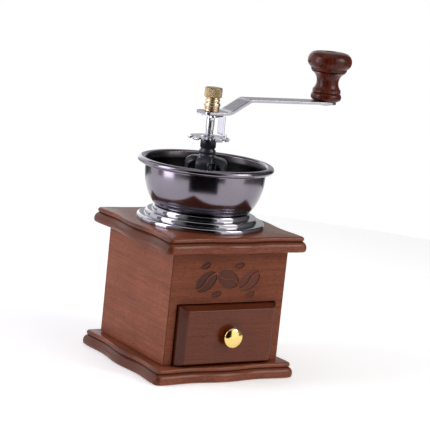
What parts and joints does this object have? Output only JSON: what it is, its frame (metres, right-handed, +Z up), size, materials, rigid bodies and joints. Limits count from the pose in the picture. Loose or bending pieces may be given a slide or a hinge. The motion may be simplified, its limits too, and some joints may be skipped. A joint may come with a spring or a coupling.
{
  "type": "coffee grinder",
  "caption": "Hand-cranked burr coffee grinder: wooden case with a drawer for the grounds, open steel hopper, notched adjusting wheel and a cranked arm with a turned wooden knob.",
  "frame": {"origin": "centre of the base board's underside, where the grinder stands on the table", "axes": "+Z up along the spindle, -Y out through the drawer's front, +X along the crank as it is stored"},
  "size_m": [0.1682, 0.1189, 0.2245],
  "materials": {
    "walnut": "stained, satin lacquer",
    "dark_walnut": "dark stain, gloss lacquer",
    "plywood": "raw, sanded",
    "black_steel": "black chrome, polished",
    "chrome": "polished",
    "steel": "satin",
    "brass": "satin",
    "bright_brass": "polished",
    "black_plastic": "satin",
    "cast_iron": "as cast"
  },
  "bodies": {
    "case": {"base_board": "walnut", "top_board": "walnut", "front_panel": "walnut", "left_wall": "walnut", "right_wall": "walnut", "rear_wall": "walnut", "base_screw_1": "steel", "base_screw_2": "steel", "base_screw_3": "steel", "base_screw_4": "steel", "stepped_ring": "chrome", "hopper_bowl": "black_steel", "burr_bridge": "black_plastic", "neck_bush": "brass", "bridge_screw_1": "steel", "bridge_screw_2": "steel", "bridge_screw_3": "steel", "bridge_screw_4": "steel", "burr_cup": "black_plastic", "outer_burr": "cast_iron"},
    "drawer": {"drawer_front": "walnut", "drawer_left_side": "walnut", "drawer_right_side": "walnut", "drawer_back": "walnut", "drawer_bottom": "plywood", "drawer_knob": "bright_brass", "drawer_knob_screw": "steel"},
    "wheel": {"adjusting_wheel": "chrome"},
    "spindle": {"spindle": "steel", "inner_burr": "cast_iron", "burr_spring": "steel", "spring_washer": "steel", "burr_washer": "steel", "burr_nut": "steel", "lock_bracket": "chrome", "crank_arm": "steel", "cap_nut": "brass", "knob_pin": "steel"},
    "knob": {"crank_knob": "dark_walnut"}
  },
  "joints": [
    {"name": "crank_spin", "type": "hinge", "parent": "case", "child": "wheel", "pos_m": [0, 0, 0.1589], "axis": [0, 0, 1], "continuous": true},
    {"name": "grind_adjust", "type": "slide", "parent": "wheel", "child": "spindle", "axis": [0, 0, 1], "range_m": [0, 0.0018], "deforming": ["burr_spring"]},
    {"name": "knob_spin", "type": "hinge", "parent": "spindle", "child": "knob", "pos_m": [0.0949, 0, 0.189], "axis": [0, 0, 1], "continuous": true},
    {"name": "drawer_slide", "type": "slide", "parent": "case", "child": "drawer", "axis": [0, -1, 0], "range_m": [0, 0.07]}
  ]
}
